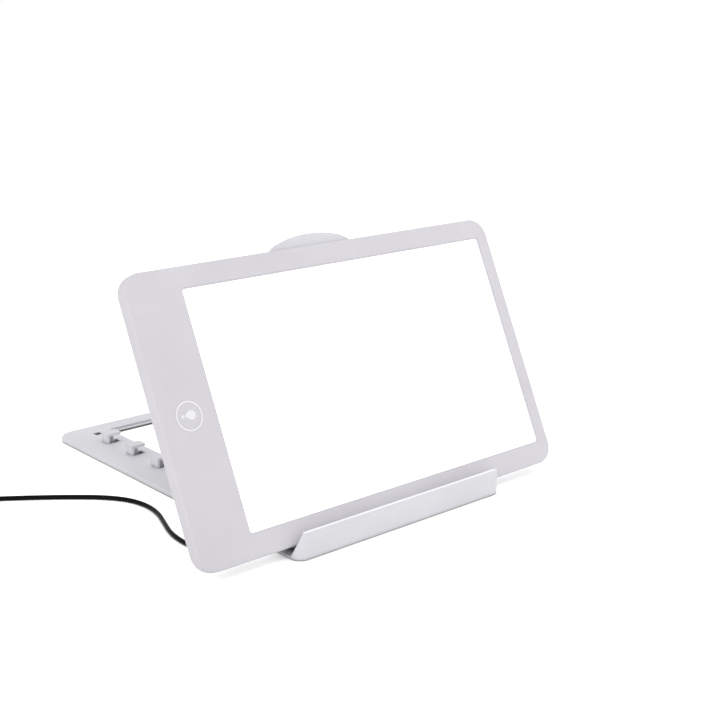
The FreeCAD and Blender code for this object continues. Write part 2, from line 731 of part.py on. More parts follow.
def lead_edges():
    """The lead from its strain relief to the coil."""
    top = PANEL_FRAME.multVec(Vector(HOUSING_X, RELIEF_END_V, PLUG_W))
    return cord_edges(((top.x, top.y, top.z),) + LEAD_ROUTE)


def lead_rise():
    """The stretch of lead that moves with the support plate."""
    edges, radii = lead_edges()
    return cord_tube("lead_rise", edges[:2 * RISE_CORNERS], radii[:RISE_CORNERS])


def lead_floor():
    """The lead from there down to the floor and in loose curves to the coil."""
    edges, radii = lead_edges()
    return cord_tube("lead_floor", edges[2 * RISE_CORNERS:], radii[RISE_CORNERS:])


def lead_coil():
    """The outer shape of the coil that the rest of the lead is wound into."""
    ring = Part.makeCylinder(COIL_OUTER_R, COIL_TOP_Z, Vector(COIL_X, COIL_Y, 0))
    hole = Part.makeCylinder(COIL_INNER_R, COIL_TOP_Z, Vector(COIL_X, COIL_Y, 0))
    ring = ring.cut(hole)
    outer = [e for e in ring.Edges if e.Length > 2 * math.pi * COIL_INNER_R * 1.01 and len(e.Vertexes) == 1]
    return ring.makeFillet(CORD_D / 2, [e for e in outer if abs(e.BoundBox.ZLength) < 1e-6])


def lead_tie():
    """The tie round the coil."""
    outer = block(
        COIL_INNER_R - TIE_T, COIL_OUTER_R + TIE_T, -TIE_W / 2, TIE_W / 2, 0, COIL_TOP_Z + TIE_T
    )
    inner = block(COIL_INNER_R, COIL_OUTER_R, -TIE_W, TIE_W, -1, COIL_TOP_Z)
    tie = outer.cut(inner)
    tie.rotate(Vector(0, 0, 0), Vector(0, 0, 1), TIE_ANGLE)
    tie.translate(Vector(COIL_X, COIL_Y, 0))
    return tie.cut(lead_coil())


def lead_tail():
    """The short end of the lead from the coil to its end plug."""
    edges, radii = cord_edges(TAIL_ROUTE)
    return cord_tube("lead_tail", edges, radii)


def usb_place():
    """Where the end plug lies: at the tail's end, in line with it."""
    end = Vector(*TAIL_ROUTE[-1])
    before = Vector(*TAIL_ROUTE[-2])
    along = end - before
    turn = math.degrees(math.atan2(along.y, along.x)) - QUARTER_TURN
    return Placement(Vector(end.x, end.y, 0), Rotation(Vector(0, 0, 1), turn))


def usb_grip():
    """The moulded grip of the end plug."""
    half = USB_GRIP_W / 2
    grip = rounded_block(-half, half, 0, USB_GRIP_L, 0, USB_GRIP_T, USB_GRIP_R)
    return grip.transformGeometry(usb_place().toMatrix())


def usb_shell():
    """The metal shell of the end plug."""
    half = USB_SHELL_W / 2
    low = (USB_GRIP_T - USB_SHELL_T) / 2
    shell = block(-half, half, USB_GRIP_L, USB_GRIP_L + USB_SHELL_L, low, low + USB_SHELL_T)
    hollow = block(
        USB_WALL - half, half - USB_WALL, USB_GRIP_L + USB_HOLLOW_FROM,
        USB_GRIP_L + USB_SHELL_L + 1, low + USB_TONGUE_T, low + USB_SHELL_T - USB_WALL,
    )
    return shell.cut(hollow).transformGeometry(usb_place().toMatrix())


ON_PANEL = (
    front_bezel, back_cover, diffuser, light_guide, reflector_sheet, led_strip, led_chips,
    control_board, touch_sensor, touch_mark, power_socket, case_screws,
)
ON_SUPPORT = (support_plate, leg_pins, lead_plug, strain_relief)
ON_LEG = (prop_leg,)
AS_PLACED = (
    base_stand, rubber_feet, hinge_pins, lead_rise, lead_floor, lead_coil, lead_tie, lead_tail,
    usb_grip, usb_shell,
)


def place(shape, frame):
    """A shape moved from its own frame to its place, with the origin under the middle."""
    placed = shape.copy()
    placed.Placement = frame.multiply(placed.Placement)
    placed.translate(TO_ORIGIN)
    return placed


def main():
    """Builds every piece and writes it to its own file."""
    os.makedirs("parts", exist_ok=True)
    flat = Placement()
    groups = ((ON_PANEL, PANEL_FRAME), (ON_SUPPORT, PANEL_FRAME), (ON_LEG, LEG_FRAME), (AS_PLACED, flat))
    for makers, frame in groups:
        for maker in makers:
            shape = place(maker(), frame)
            name = maker.__name__
            if not shape.isValid():
                print("not valid", name)
            shape.exportStep("parts/" + name + ".step")
            print(name, "solids", len(shape.Solids), "volume", round(shape.Volume, 1))
    print("hinge", HINGE + TO_ORIGIN, "leg pivot", LEG_PIVOT + TO_ORIGIN, "leg", LEG_L)
    print("lug radius", LUG_R, "foot y", FOOT_Y, "shift", TO_ORIGIN.y)


main()
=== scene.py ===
"""Light therapy lamp on its stand: looks, fine pieces, lead, light and camera.

Metres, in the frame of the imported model: +X to the right, +Y to the back, +Z up.
"""

import bpy
import math
import numpy as np

from mathutils import Matrix


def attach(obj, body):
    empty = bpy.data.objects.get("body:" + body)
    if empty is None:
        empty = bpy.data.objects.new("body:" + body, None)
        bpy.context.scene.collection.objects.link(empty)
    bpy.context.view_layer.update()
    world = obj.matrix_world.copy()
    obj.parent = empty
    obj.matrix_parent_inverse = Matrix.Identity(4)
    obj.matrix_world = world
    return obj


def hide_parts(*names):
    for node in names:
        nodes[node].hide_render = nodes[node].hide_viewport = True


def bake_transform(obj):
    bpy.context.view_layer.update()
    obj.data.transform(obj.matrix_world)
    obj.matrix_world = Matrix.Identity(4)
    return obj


# Camera fitted to the photograph's straight edges
CAMERA_PLACE = (-0.558636, -0.715745, 0.341673)
CAMERA_AZIMUTH = math.radians(-41.98)
CAMERA_ELEVATION = math.radians(15.51)
CAMERA_ROLL = math.radians(0.84)
CAMERA_LENS = 68.7755
CAMERA_SENSOR = 36.0
CAMERA_SHIFT_Y = -0.0251

# Panel: lean from upright, the foot of its front face, and its thickness
LEAN = math.radians(26.0)
FOOT_Y = -0.1331
FOOT_Z = 0.007345
PANEL_T = 0.009

# Touch key on the left margin: its middle on the panel, and its ring
KEY_X = -0.1298
KEY_V = 0.08985
RING_R = 0.0085
RING_LINE = 0.001

# Signs in the ring, from the key's middle: the bulb's globe, its neck, its cap and its rays
BULB_X = 0.0014
BULB_V = 0.0004
BULB_R = 0.0029
BULB_NECK_AT = 138
NECK_X = -0.00076
NECK_V = 0.0005
NECK_L = 0.0020
NECK_HALF = 0.00204
NECK_END_HALF = 0.0007
CAP_X = -0.0043
CAP_V = 0.0003
CAP_R = 0.0011
RAY_V = 0.0006
RAY_NEAR = 0.0034
RAY_FAR = 0.0047
RAY_HALF_W = 0.0002
RAY_ANGLES = (118, 82, 46, 10, -26, -60)

# Heights of the print and of the shade round it, over the panel's face
PRINT_W = 0.00006
SHADE_W = 0.00003

# Cross recesses of the case screws, on the panel's back, drawn as dark flat bars: painted shade in
# the recesses
SCREW_XS = (-0.144, 0.0, 0.144)
SCREW_VS = (0.0075, 0.170)
CROSS_HALF_L = 0.0013
CROSS_HALF_W = 0.0003
CROSS_W = -PANEL_T - 0.00003

# Plug: its axis, its height on the panel, its finger rings and its pin
PLUG_X = -0.119
PLUG_DEPTH = 0.0135
PLUG_TOP_V = 0.0617
PLUG_R = 0.0036
PLUG_RINGS = 5
PLUG_RING_FIRST = 0.005
PLUG_RING_PITCH = 0.0018
PLUG_RING_DEPTH = 0.0003
PIN_L = 0.0097
PIN_R = 0.00175
PIN_TIP_R = 0.0014
PIN_TIP_L = 0.0004

# Sleeve below the plug: its ends, its taper and its grooves
SLEEVE_TOP_V = 0.0437
SLEEVE_END_V = 0.0277
SLEEVE_R = 0.0029
SLEEVE_TAPER = 0.001
SLEEVE_GROOVES = 8
SLEEVE_GROOVE_FIRST = 0.0018
SLEEVE_GROOVE_PITCH = 0.0016
SLEEVE_GROOVE_DEPTH = 0.00035

# Lead: its route from the sleeve to the coil, the coil, and the tail to the end plug
CORD_D = 0.003
LEAD_EXIT = (-0.1190, -0.1088, 0.02632)
LEAD_ROUTE = [
    (-0.1191, -0.1119, 0.01990),
    (-0.1193, -0.1115, 0.01200),
    (-0.1197, -0.1073, 0.00530),
    (-0.1203, -0.1004, 0.00150),
    (-0.1212, -0.0925, 0.00150),
    (-0.1226, -0.0821, 0.00150),
    (-0.1229, -0.0706, 0.00150),
    (-0.1208, -0.0571, 0.00150),
    (-0.1150, -0.0421, 0.00150),
    (-0.1093, -0.0271, 0.00150),
    (-0.1076, -0.0116, 0.00150),
    (-0.1114, 0.0039, 0.00150),
    (-0.1217, 0.0181, 0.00150),
    (-0.1370, 0.0312, 0.00150),
    (-0.1535, 0.0441, 0.00150),
    (-0.1725, 0.0574, 0.00150),
    (-0.1836, 0.0649, 0.00150),
    (-0.1945, 0.0716, 0.00150),
]
TAIL_ROUTE = [
    (-0.2111, 0.1023, 0.00440),
    (-0.2114, 0.1101, 0.00340),
    (-0.2124, 0.1179, 0.00290),
    (-0.2139, 0.1253, 0.00320),
]
COIL_X = -0.1891
COIL_Y = 0.0944
COIL_OUT_R = 0.022
COIL_IN_R = 0.013
COIL_START = math.radians(-123.0)
COIL_LOWER = 3.0
COIL_CLIMB = 1.0
COIL_TURNS = 7.158
COIL_PER_TURN = 16
COIL_DIP = 0.3
COIL_LINE_SHARE = 0.981

# End plug's grip
GRIP_L = 0.022
GRIP_HALF_W = 0.006
GRIP_HALF_T = 0.0032
GRIP_START_HALF = 0.0018
GRIP_GROOVE_DEPTH = 0.0003
GRIP_RINGS = 57
GRIP_CORNERS = 0.35

# Sides of round pieces
LEAD_SIDES = 20
PLUG_SIDES = 40

# Reach of the painted shade in the stand's corners, and of the floor's partly painted contact
# shadow at what stands on it
PAINTED_SHADE_REACH = 0.006
CONTACT_REACH = 0.012

FLOOR_HALF = 6

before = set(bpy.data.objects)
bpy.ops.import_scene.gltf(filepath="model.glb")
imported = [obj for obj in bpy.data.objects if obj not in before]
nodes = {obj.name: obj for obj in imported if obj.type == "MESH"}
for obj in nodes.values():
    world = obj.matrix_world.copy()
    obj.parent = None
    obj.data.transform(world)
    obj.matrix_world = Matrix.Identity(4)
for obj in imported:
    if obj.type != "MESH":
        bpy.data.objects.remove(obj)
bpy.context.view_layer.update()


def linear(red, green, blue):
    """A colour given as seen on a screen, from 0 to 255, as the renderer counts light."""
    out = []
    for c in (red / 255, green / 255, blue / 255):
        out.append(c / 12.92 if c <= 0.04045 else ((c + 0.055) / 1.055) ** 2.4)
    return (out[0], out[1], out[2], 1.0)


def on_panel(x, v, w):
    """Places given across the panel, up it and out of its face, in the model's frame.

    Up the panel leans back by the lean angle, and out of its face points up and to the front.
    """
    y = FOOT_Y + v * math.sin(LEAN) - w * math.cos(LEAN)
    z = FOOT_Z + v * math.cos(LEAN) + w * math.sin(LEAN)
    return (x, y, z)


def unit(vector):
    """The vector at length 1."""
    return vector / np.linalg.norm(vector)


def facing(place, back, roll=0.0):
    """A transform at a place, for a lamp or camera that looks away from back.

    Its z axis is back. Its x axis is level, square to back, and turns by the roll with y.
    """
    back = unit(np.array(back, float))
    level = unit(np.cross((0.0, 0.0, 1.0), back))
    upper = np.cross(back, level)
    turn = np.eye(4)
    turn[:3, 0] = level * math.cos(roll) + upper * math.sin(roll)
    turn[:3, 1] = -level * math.sin(roll) + upper * math.cos(roll)
    turn[:3, 2] = back
    turn[:3, 3] = place
    return Matrix(turn.tolist())


# Materials


def new_material(name):
    """A node material with nothing but its output: the material, its tree and the output."""
    material = bpy.data.materials.new(name)
    material.use_nodes = True
    tree = material.node_tree
    tree.nodes.clear()
    out = tree.nodes.new("ShaderNodeOutputMaterial")
    return material, tree, out


def noise(tree, scale, detail=2.0, rough=0.5, stretch=(1.0, 1.0, 1.0)):
    """Cloudy noise on object coordinates: its factor socket. Scale is in cycles per metre."""
    coord = tree.nodes.new("ShaderNodeTexCoord")
    mapping = tree.nodes.new("ShaderNodeMapping")
    mapping.inputs["Scale"].default_value = stretch
    cloud = tree.nodes.new("ShaderNodeTexNoise")
    cloud.inputs["Scale"].default_value = scale
    cloud.inputs["Detail"].default_value = detail
    cloud.inputs["Roughness"].default_value = rough
    tree.links.new(coord.outputs["Object"], mapping.inputs["Vector"])
    tree.links.new(mapping.outputs["Vector"], cloud.inputs["Vector"])
    return cloud.outputs["Fac"]


def ramp(tree, factor, low, high, colors):
    """A factor turned into a blend of two colours between two of its values."""
    node = tree.nodes.new("ShaderNodeValToRGB")
    node.color_ramp.elements[0].position = low
    node.color_ramp.elements[0].color = colors[0]
    node.color_ramp.elements[1].position = high
    node.color_ramp.elements[1].color = colors[1]
    tree.links.new(factor, node.inputs["Fac"])
    return node.outputs["Color"]


def spread(tree, factor, low, high, start=0.3, end=0.7):
    """A factor between start and end moved to the range from low to high."""
    node = tree.nodes.new("ShaderNodeMapRange")
    node.inputs["From Min"].default_value = start
    node.inputs["From Max"].default_value = end
    node.inputs["To Min"].default_value = low
    node.inputs["To Max"].default_value = high
    tree.links.new(factor, node.inputs["Value"])
    return node.outputs["Result"]


def bump(tree, height, distance):
    """A bump normal from a height socket. Distance is in metres."""
    node = tree.nodes.new("ShaderNodeBump")
    node.inputs["Distance"].default_value = distance
    tree.links.new(height, node.inputs["Height"])
    return node.outputs["Normal"]


def openness(tree, reach, samples):
    """How open a point's surroundings are within a reach, from 0 to 1: a socket."""
    node = tree.nodes.new("ShaderNodeAmbientOcclusion")
    node.samples = samples
    node.inputs["Distance"].default_value = reach
    return node.outputs["AO"]


def moulded(
    name, dark, light, rough, grain, depth, shine=0.5, metallic=0.0, stretch=(1, 1, 1), painted_shade_share=1.0
):
    """Moulded plastic or plain metal: two near tones in soft clouds, fine grain and uneven gloss.

    Below a share of 1 in the last argument, painted shade darkens the colour to that share deep in
    corners and narrow gaps.
    """
    material, tree, out = new_material(name)
    shader = tree.nodes.new("ShaderNodeBsdfPrincipled")
    shader.inputs["Metallic"].default_value = metallic
    shader.inputs["Specular IOR Level"].default_value = shine
    clouds = noise(tree, 26.0, 3.0, 0.55, stretch)
    fine = noise(tree, grain, 3.0, 0.6, stretch)
    tone = ramp(tree, clouds, 0.3, 0.7, (linear(*dark), linear(*light)))
    # Painted shade: the colour is darkened where little is open within a short reach.
    if painted_shade_share < 1.0:
        painted_shade_node = tree.nodes.new("ShaderNodeVectorMath")
        painted_shade_node.operation = "SCALE"
        share = spread(tree, openness(tree, PAINTED_SHADE_REACH, 8), painted_shade_share, 1.0, 0.25, 0.7)
        tree.links.new(tone, painted_shade_node.inputs[0])
        tree.links.new(share, painted_shade_node.inputs["Scale"])
        tone = painted_shade_node.outputs["Vector"]
    tree.links.new(tone, shader.inputs["Base Color"])
    tree.links.new(spread(tree, fine, rough - 0.05, rough + 0.05), shader.inputs["Roughness"])
    tree.links.new(bump(tree, fine, depth), shader.inputs["Normal"])
    tree.links.new(shader.outputs["BSDF"], out.inputs["Surface"])
    return material


def lit_screen():
    """The milky diffuser, lit from within: white light with the faintest unevenness."""
    material, tree, out = new_material("lit_screen")
    shader = tree.nodes.new("ShaderNodeBsdfPrincipled")
    shader.inputs["Roughness"].default_value = 0.35
    shader.inputs["Emission Strength"].default_value = 1.05
    clouds = noise(tree, 9.0)
    white = ramp(tree, clouds, 0.3, 0.6, (linear(252, 252, 253), (1.0, 1.0, 1.0, 1.0)))
    tree.links.new(white, shader.inputs["Base Color"])
    tree.links.new(white, shader.inputs["Emission Color"])
    tree.links.new(bump(tree, noise(tree, 4000.0), 0.00002), shader.inputs["Normal"])
    tree.links.new(shader.outputs["BSDF"], out.inputs["Surface"])
    return material


def clear_plastic():
    """Clear acrylic with a faint cool tint and fine etched dots on its face."""
    material, tree, out = new_material("clear_guide")
    shader = tree.nodes.new("ShaderNodeBsdfPrincipled")
    shader.inputs["Transmission Weight"].default_value = 0.9
    shader.inputs["IOR"].default_value = 1.49
    clouds = noise(tree, 40.0)
    tint = ramp(tree, clouds, 0.3, 0.7, (linear(228, 238, 240), linear(240, 246, 247)))
    tree.links.new(tint, shader.inputs["Base Color"])
    tree.links.new(spread(tree, clouds, 0.04, 0.1), shader.inputs["Roughness"])
    dots = tree.nodes.new("ShaderNodeTexVoronoi")
    dots.inputs["Scale"].default_value = 700.0
    tree.links.new(bump(tree, dots.outputs["Distance"], 0.00005), shader.inputs["Normal"])
    tree.links.new(shader.outputs["BSDF"], out.inputs["Surface"])
    return material


# Each finish: dark and light tone, roughness, grain in cycles per metre, depth of the grain
panel_plastic = moulded(
    "panel_plastic", (203, 200, 206), (208, 206, 211), 0.42, 2600.0, 0.00002, shine=0.4
)
# The stand's plastic is darkened in its corners, hollows and slots: painted shade.
stand_plastic = moulded(
    "stand_plastic", (213, 212, 217), (218, 217, 222), 0.48, 2200.0, 0.00003, shine=0.4,
    painted_shade_share=0.25,
)
guide_plastic = clear_plastic()
screen_white = lit_screen()
sheet_white = moulded("sheet_white", (240, 240, 241), (247, 247, 247), 0.6, 5000.0, 0.00001)
board_green = moulded("board_green", (24, 84, 52), (34, 102, 64), 0.35, 900.0, 0.00003)
led_yellow = moulded("led_yellow", (236, 214, 120), (246, 230, 150), 0.3, 1500.0, 0.00001)
print_white = moulded("print_white", (229, 228, 232), (233, 232, 236), 0.55, 4000.0, 0.00001)
steel = moulded(
    "steel", (176, 178, 182), (200, 201, 204), 0.3, 1400.0, 0.00001, metallic=1.0,
    stretch=(1, 12, 1),
)
black_plastic = moulded("black_plastic", (17, 17, 19), (27, 27, 30), 0.45, 2400.0, 0.00004)
feet_rubber = moulded("feet_rubber", (196, 195, 200), (208, 207, 212), 0.75, 1800.0, 0.00004)
cord_black = moulded("cord_black", (3, 3, 3), (6, 6, 7), 0.26, 1500.0, 0.00002, shine=0.08)
print_shade = moulded("print_shade", (196, 193, 199), (200, 197, 203), 0.45, 2600.0, 0.00002)
print_faint = moulded("print_faint", (219, 217, 222), (223, 221, 226), 0.5, 4000.0, 0.00001)
# Painted shade: near black for the flat bars that stand in for the screws' cross recesses.
recess_painted_shade = moulded("recess_painted_shade", (30, 30, 33), (44, 44, 48), 0.5, 1800.0, 0.00001)

LOOKS = {
    "front_bezel": panel_plastic,
    "back_cover": panel_plastic,
    "diffuser": screen_white,
    "light_guide": guide_plastic,
    "reflector_sheet": sheet_white,
    "led_strip": board_green,
    "led_chips": led_yellow,
    "control_board": board_green,
    "touch_sensor": steel,
    "touch_mark": print_white,
    "power_socket": black_plastic,
    "case_screws": steel,
    "support_plate": stand_plastic,
    "leg_pins": steel,
    "lead_plug": black_plastic,
    "strain_relief": black_plastic,
    "prop_leg": stand_plastic,
    "base_stand": stand_plastic,
    "rubber_feet": feet_rubber,
    "hinge_pins": steel,
    "lead_rise": cord_black,
    "lead_floor": cord_black,
    "lead_coil": cord_black,
    "lead_tie": black_plastic,
    "lead_tail": cord_black,
    "usb_grip": black_plastic,
    "usb_shell": steel,
}
for name, material in LOOKS.items():
    node = nodes[name]
    if not node.material_slots:
        node.data.materials.append(material)
    for place in node.material_slots:
        place.material = material


# Mesh pieces


def surface(name, points, faces, material, smooth=True):
    """A mesh object at the origin from points and faces, with its material."""
    mesh = bpy.data.meshes.new(name)
    mesh.from_pydata(np.asarray(points, float).tolist(), [], faces)
    mesh.materials.append(material)
    mesh.polygons.foreach_set("use_smooth", [smooth] * len(mesh.polygons))
    mesh.update()
    piece = bpy.data.objects.new(name, mesh)
    bpy.context.scene.collection.objects.link(piece)
    return piece


def rings_to_faces(rings, sides, capped=True):
    """Faces between neighbouring rings of points, and flat caps on both ends where asked.

    A face joins the places j and j + 1 of ring i with the same two places of ring i + 1, and
    the place after a ring's last is its first.
    """
    i, j = np.mgrid[0:rings - 1, 0:sides]
    k = (j + 1) % sides
    corners = (i * sides + j, i * sides + k, (i + 1) * sides + k, (i + 1) * sides + j)
    faces = np.stack(corners, axis=-1).reshape(-1, 4).tolist()
    if capped:
        faces.append(list(range(sides - 1, -1, -1)))
        faces.append(list(range((rings - 1) * sides, rings * sides)))
    return faces


def lathe(profile, start, axis):
    """Points of a surface turned round an axis.

    Each profile entry is a distance along the axis from the start, and a radius. A point
    is the start, plus the distance along the axis, plus the radius times the cosine and
    sine of its angle along two directions square to the axis.
    """
    axis = unit(np.array(axis, float))
    side = unit(np.cross(axis, (1.0, 0.0, 0.0)))
    other = np.cross(axis, side)
    angles = np.linspace(0, 2 * math.pi, PLUG_SIDES, endpoint=False)
    turn = np.cos(angles)[:, None] * side + np.sin(angles)[:, None] * other
    along, radius = np.array(profile).T
    rings = np.array(start) + along[:, None, None] * axis + radius[:, None, None] * turn
    return rings.reshape(-1, 3)


def tube(path, radius, sides):
    """Points of a round tube along a path.

    Each ring stands square to the path, and its two directions are carried from the ring
    before it by the smallest turn, so that the tube doesn't twist.
    """
    along = np.gradient(path, axis=0)
    along /= np.linalg.norm(along, axis=1)[:, None]
    angles = np.linspace(0, 2 * math.pi, sides, endpoint=False)
    cosine = radius * np.cos(angles)[:, None]
    sine = radius * np.sin(angles)[:, None]
    side = np.cross(along[0], (0.3, 0.2, 1.0))
    rings = []
    for point, ahead in zip(path, along):
        side = unit(side - ahead * np.dot(side, ahead))
        rings.append(point + cosine * side + sine * np.cross(ahead, side))
    return np.concatenate(rings)


# Lead


def coil_points():
    """Control points of the coil: turns inwards on the surface, a climb, and turns outwards on top.

    The angle falls evenly. The radius shrinks by a diameter a turn, dips a little while
    the height climbs by a diameter along a smooth step, and grows again. The radius is
    made larger by one over COIL_LINE_SHARE, because the line passes inside its control points.
    """
    upper = COIL_LOWER + COIL_CLIMB
    turns = np.linspace(0.0, COIL_TURNS, round(COIL_TURNS * COIL_PER_TURN) + 1)
    angle = COIL_START - 2 * math.pi * turns
    climb = np.clip((turns - COIL_LOWER) / COIL_CLIMB, 0.0, 1.0)
    inwards = COIL_OUT_R - CORD_D * turns
    dip = COIL_IN_R - COIL_DIP * CORD_D * np.sin(math.pi * climb)
    outwards = COIL_IN_R + (COIL_OUT_R - COIL_IN_R) * (turns - upper) / (COIL_TURNS - upper)
    radius = np.select((turns < COIL_LOWER, climb < 1.0), (inwards, dip), outwards)
    radius /= COIL_LINE_SHARE
    x = COIL_X + radius * np.cos(angle)
    y = COIL_Y + radius * np.sin(angle)
    z = CORD_D / 2 + CORD_D * climb * climb * (3 - 2 * climb)
    return np.stack((x, y, z), axis=-1)


def smooth_line(points):
    """The points along one smooth spline that has the given control points."""
    curve = bpy.data.curves.new("lead_line", "CURVE")
    curve.dimensions = "3D"
    spline = curve.splines.new("NURBS")
    spline.points.add(len(points) - 1)
    spline.points.foreach_set("co", np.column_stack([points, np.ones(len(points))]).ravel())
    spline.order_u = 3
    spline.use_endpoint_u = True
    spline.resolution_u = 8
    carrier = bpy.data.objects.new("lead_line", curve)
    bpy.context.scene.collection.objects.link(carrier)
    bpy.context.view_layer.update()
    mesh = bpy.data.meshes.new_from_object(carrier)
    line = np.array([v.co for v in mesh.vertices], float)
    bpy.data.objects.remove(carrier)
    bpy.data.curves.remove(curve)
    bpy.data.meshes.remove(mesh)
    return line


lead_line = smooth_line(np.concatenate([[LEAD_EXIT], LEAD_ROUTE, coil_points(), TAIL_ROUTE]))
lead = surface(
    "lead", tube(lead_line, CORD_D / 2, LEAD_SIDES),
    rings_to_faces(len(lead_line), LEAD_SIDES), cord_black,
)
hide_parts("lead_rise", "lead_floor", "lead_coil", "lead_tail")
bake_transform(lead)


# Plug, sleeve and end plug

PANEL_DOWN = on_panel(0.0, -1.0, 0.0) - np.array(on_panel(0.0, 0.0, 0.0))


def on_plug_axis(v):
    """A place on the plug's axis at a height up the panel."""
    return on_panel(PLUG_X, v, -PLUG_DEPTH)


def sleeve_profile():
    """The sleeve's distances and radii: a taper cut by grooves, with a round end."""
    length = SLEEVE_TOP_V - SLEEVE_END_V
    profile = [(0.0, SLEEVE_R), (0.0006, 0.0030)]
    for i in range(SLEEVE_GROOVES):
        at = SLEEVE_GROOVE_FIRST + i * SLEEVE_GROOVE_PITCH
        radius = SLEEVE_R - SLEEVE_TAPER * at / length
        floor_radius = radius - SLEEVE_GROOVE_DEPTH
        profile += [(at - 0.0004, radius), (at - 0.0003, floor_radius)]
        profile += [(at + 0.0003, floor_radius), (at + 0.0004, radius)]
    profile += [(length - 0.0004, 0.0019), (length - 0.0001, 0.00175), (length, 0.0016)]
    return profile


def plug_profile():
    """The plug grip's distances and radii: round shoulders and shallow finger rings."""
    length = PLUG_TOP_V - SLEEVE_TOP_V
    floor_radius = PLUG_R - PLUG_RING_DEPTH
    profile = [(0.0, 0.0030), (0.0002, 0.0034), (0.0006, PLUG_R)]
    for i in range(PLUG_RINGS):
        at = PLUG_RING_FIRST + i * PLUG_RING_PITCH
        profile += [(at - 0.0005, PLUG_R), (at - 0.0002, floor_radius)]
        profile += [(at + 0.0002, floor_radius), (at + 0.0005, PLUG_R)]
    profile += [(length - 0.0007, PLUG_R), (length - 0.0002, 0.0034), (length, 0.0029)]
    return profile


profile = sleeve_profile()
sleeve = surface(
    "lead_sleeve", lathe(profile, on_plug_axis(SLEEVE_TOP_V), PANEL_DOWN),
    rings_to_faces(len(profile), PLUG_SIDES), black_plastic,
)
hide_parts("strain_relief")
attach(sleeve, "support")

profile = plug_profile()
grip = lathe(profile, on_plug_axis(PLUG_TOP_V), PANEL_DOWN)
grip_faces = rings_to_faces(len(profile), PLUG_SIDES)
profile = [(0.0, 0.0), (0.0, PIN_TIP_R), (PIN_TIP_L, PIN_R), (PIN_L, PIN_R)]
pin = lathe(profile, on_plug_axis(PLUG_TOP_V + PIN_L), PANEL_DOWN)
pin_faces = np.array(rings_to_faces(len(profile), PLUG_SIDES, capped=False)) + len(grip)
plug = surface(
    "plug_grip", np.concatenate([grip, pin]), grip_faces + pin_faces.tolist(), black_plastic
)
plug.data.materials.append(steel)
plug.data.polygons.foreach_set("material_index", [0] * len(grip_faces) + [1] * len(pin_faces))
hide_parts("lead_plug")
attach(plug, "support")


def end_grip():
    """Points of the end plug's grip: rings across its length.

    Each ring is a rounded box: its two halves times the sign of the cosine and sine, each
    raised to the power GRIP_CORNERS. The halves swell smoothly from the lead's size over the
    first fifth, hold, and close a little at the far end. Shallow grooves cross the middle.
    """
    start = np.array(TAIL_ROUTE[-1])
    along = start - TAIL_ROUTE[-2]
    along[2] = 0.0
    along = unit(along)
    across = np.array((along[1], -along[0], 0.0))
    up = np.array((0.0, 0.0, 1.0))
    angles = np.linspace(0, 2 * math.pi, PLUG_SIDES, endpoint=False)
    cosine = np.sign(np.cos(angles)) * np.abs(np.cos(angles)) ** GRIP_CORNERS
    sine = np.sign(np.sin(angles)) * np.abs(np.sin(angles)) ** GRIP_CORNERS
    shares = np.linspace(0.0, 1.0, GRIP_RINGS)
    swell = np.sin(np.minimum(shares / 0.2, 1.0) * math.pi / 2)
    close = 1.0 - np.maximum(shares - 0.94, 0.0)
    grooved = (shares > 0.35) & (shares < 0.75) & (np.arange(GRIP_RINGS) % 4 < 2)
    half_w = (GRIP_START_HALF + (GRIP_HALF_W - GRIP_START_HALF) * swell) * close
    half_w -= GRIP_GROOVE_DEPTH * grooved
    half_t = (GRIP_START_HALF + (GRIP_HALF_T - GRIP_START_HALF) * swell) * close
    middle = start + along * (GRIP_L * shares)[:, None]
    middle[:, 2] = GRIP_HALF_T
    wide = half_w[:, None, None] * cosine[:, None] * across
    high = half_t[:, None, None] * sine[:, None] * up
    return (middle[:, None] + wide + high).reshape(-1, 3)


end_plug = surface(
    "end_plug", end_grip(), rings_to_faces(GRIP_RINGS, PLUG_SIDES), black_plastic
)
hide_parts("usb_grip")
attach(end_plug, "root")


# Touch key's print


def flat_patch(outline, w, hole=None):
    """A flat patch on the panel's face from an outline of places across and up the panel.

    With a hole, which has as many places as the outline, the patch is the band between them:
    a face joins the places i and i + 1 of both.
    """
    count = len(outline)
    places = outline if hole is None else np.concatenate([outline, hole])
    points = np.stack(on_panel(KEY_X + places[:, 0], KEY_V + places[:, 1], w), axis=-1)
    if hole is None:
        return points, [list(range(count))]
    i = np.arange(count)
    k = (i + 1) % count
    return points, np.stack((i, k, count + k, count + i), axis=-1).tolist()


def circle(radius, middle=(0.0, 0.0), count=96):
    """Places round a circle: its middle, plus the radius times the angle's cosine and sine."""
    angles = np.linspace(0, 2 * math.pi, count, endpoint=False)
    return middle + radius * np.stack((np.cos(angles), np.sin(angles)), axis=-1)


def bulb_outline():
    """A lamp bulb's glass lying with its neck to the left, a little below its middle.

    Over the globe the places follow a circle, from one side of the neck round to the
    other. The neck narrows along a half wave to its left end.
    """
    angles = np.radians(np.linspace(-BULB_NECK_AT, BULB_NECK_AT, 41))
    share = np.linspace(0.0, 1.0, 9)[1:]
    fall = 0.5 - 0.5 * np.cos(math.pi * share)
    half = NECK_HALF - (NECK_HALF - NECK_END_HALF) * fall
    neck = NECK_X - NECK_L * share
    x = np.concatenate([BULB_X + BULB_R * np.cos(angles), neck, neck[::-1]])
    v = np.concatenate([BULB_V + BULB_R * np.sin(angles), NECK_V + half, NECK_V - half[::-1]])
    return np.stack((x, v), axis=-1)


def ray(degrees):
    """A thin ray away from the globe: a bar from near to far, turned by the angle."""
    angle = math.radians(degrees)
    ahead = np.array((math.cos(angle), math.sin(angle)))
    side = RAY_HALF_W * np.array((-ahead[1], ahead[0]))
    near = (BULB_X, RAY_V) + RAY_NEAR * ahead
    far = (BULB_X, RAY_V) + RAY_FAR * ahead
    return np.array((near + side, near - side, far - side, far + side))


